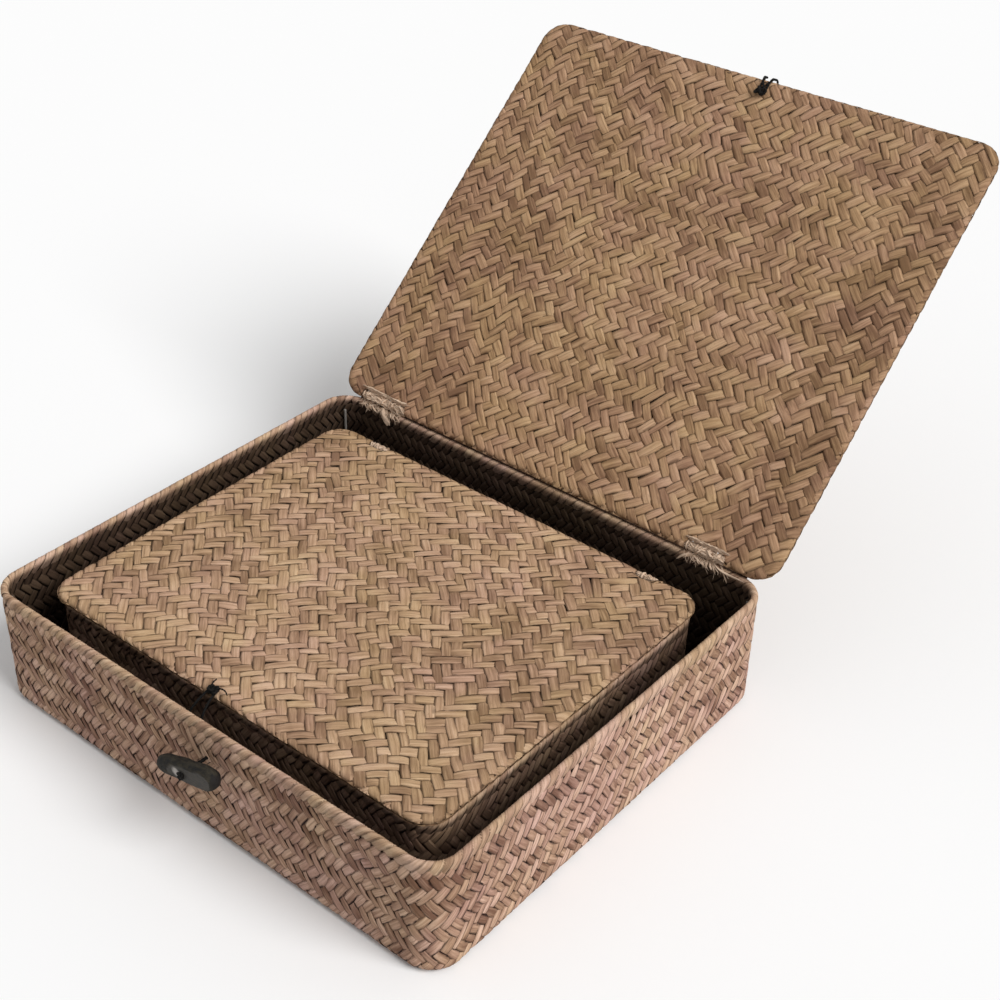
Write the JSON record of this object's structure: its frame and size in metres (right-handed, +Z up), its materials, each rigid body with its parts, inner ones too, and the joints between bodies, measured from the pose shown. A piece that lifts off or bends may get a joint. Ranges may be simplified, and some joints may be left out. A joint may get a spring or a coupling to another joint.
{
  "type": "nested woven lidded box",
  "caption": "Rectangular plaited-grass box with a lashed hinge lid and a toggle and loop closure, holding a smaller lidded box of the same make that lifts out.",
  "frame": {"origin": "middle of the outer box's flat underside", "axes": "+Z up, front wall with the toggle towards -Y, open lid leaning back towards +Y, +X to the right"},
  "size_m": [0.3402, 0.5344, 0.2786],
  "materials": {
    "plait": "plaited flat grass strips, dry and matt",
    "plait_lining": "plaited flat grass strips, dry and matt",
    "rim_plait": "pale grass strips folded over the edge, faint sheen",
    "twine": "hairy grass twine",
    "black_cord": "black waxed cord",
    "bark": "dark bark, shaved smooth in places",
    "wire": "dull grey wire"
  },
  "bodies": {
    "outer_box": {"outer_skin": "plait", "outer_lining": "plait_lining", "outer_rim_fold": "rim_plait", "outer_rim_wire": "wire", "outer_stay_front_left": "wire", "outer_stay_front_right": "wire", "outer_stay_rear_left": "wire", "outer_stay_rear_right": "wire", "outer_hinge_lashing_left": "twine", "outer_hinge_lashing_right": "twine", "outer_toggle_tether": "black_cord", "outer_toggle_inner_knot": "black_cord", "outer_toggle_front_knot": "black_cord"},
    "outer_lid": {"outer_lid_top_mat": "plait", "outer_lid_lining_mat": "plait_lining", "outer_lid_edge_fold": "rim_plait", "outer_lid_wire": "wire", "outer_loop_knot": "black_cord"},
    "outer_loop": {"outer_loop_cord": "black_cord"},
    "outer_toggle": {"outer_toggle_bar": "bark"},
    "inner_box": {"inner_skin": "plait", "inner_lining": "plait_lining", "inner_rim_fold": "rim_plait", "inner_rim_wire": "wire", "inner_stay_front_left": "wire", "inner_stay_front_right": "wire", "inner_stay_rear_left": "wire", "inner_stay_rear_right": "wire", "inner_hinge_lashing_left": "twine", "inner_hinge_lashing_right": "twine", "inner_toggle_tether": "black_cord", "inner_toggle_inner_knot": "black_cord", "inner_toggle_front_knot": "black_cord"},
    "inner_lid": {"inner_lid_top_mat": "plait", "inner_lid_lining_mat": "plait_lining", "inner_lid_edge_fold": "rim_plait", "inner_lid_wire": "wire", "inner_loop_knot": "black_cord", "inner_loop_cord": "black_cord"},
    "inner_toggle": {"inner_toggle_bar": "bark"}
  },
  "joints": [
    {"name": "outer_lid_hinge", "type": "hinge", "parent": "outer_box", "child": "outer_lid", "pos_m": [0, 0.1454, 0.0803], "axis": [-1, 0, 0], "range_deg": [-138.25, 0]},
    {"name": "outer_loop_swing", "type": "hinge", "parent": "outer_lid", "child": "outer_loop", "pos_m": [0.005, 0.36646, 0.2776], "axis": [-1, 0, 0], "range_deg": [-221.75, 0]},
    {"name": "outer_toggle_turn", "type": "hinge", "parent": "outer_box", "child": "outer_toggle", "pos_m": [0.012, -0.1589, 0.0558], "axis": [0, -1, 0], "range_deg": [-107, 72]},
    {"name": "inner_box_lift", "type": "slide", "parent": "outer_box", "child": "inner_box", "axis": [0, 0, 1], "range_m": [0, 0.15]},
    {"name": "inner_lid_hinge", "type": "hinge", "parent": "inner_box", "child": "inner_lid", "pos_m": [-0.0013, 0.114, 0.0698], "axis": [-1, 0, 0], "range_deg": [0, 110]},
    {"name": "inner_toggle_turn", "type": "hinge", "parent": "inner_box", "child": "inner_toggle", "pos_m": [-0.0083, -0.1278, 0.0364], "axis": [0, -1, 0], "range_deg": [-107, 72]}
  ]
}
